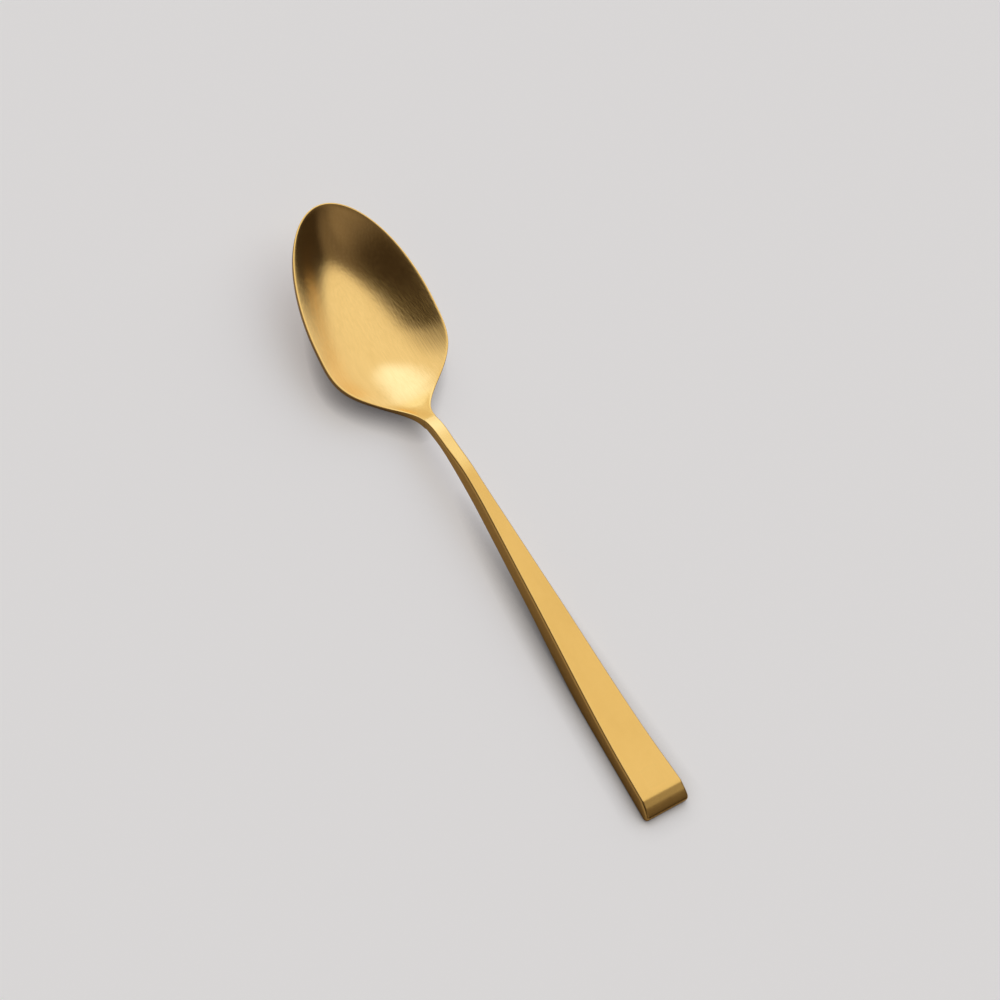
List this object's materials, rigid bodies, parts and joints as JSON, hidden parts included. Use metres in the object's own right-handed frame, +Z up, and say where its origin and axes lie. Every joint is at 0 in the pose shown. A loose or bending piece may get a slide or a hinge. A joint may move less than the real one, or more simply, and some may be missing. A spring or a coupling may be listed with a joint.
{
  "type": "teaspoon",
  "caption": "Slim teaspoon in brushed gold-coloured steel: egg-shaped bowl joined at the neck to a flat handle that flares to a square end with a rounded nose.",
  "frame": {"origin": "on the table, under the middle of the spoon's length", "axes": "+X from the tip of the bowl to the end of the handle, +Z up out of the bowl"},
  "size_m": [0.14, 0.0304, 0.0145],
  "materials": {
    "brushed_gold_bowl": "gold-coloured coating on steel, brushed lengthwise inside the bowl",
    "satin_gold_handle": "gold-coloured coating on steel, smooth satin with softly rounded edges"
  },
  "bodies": {
    "root": {"bowl": "brushed_gold_bowl", "handle": "satin_gold_handle"}
  },
  "joints": []
}
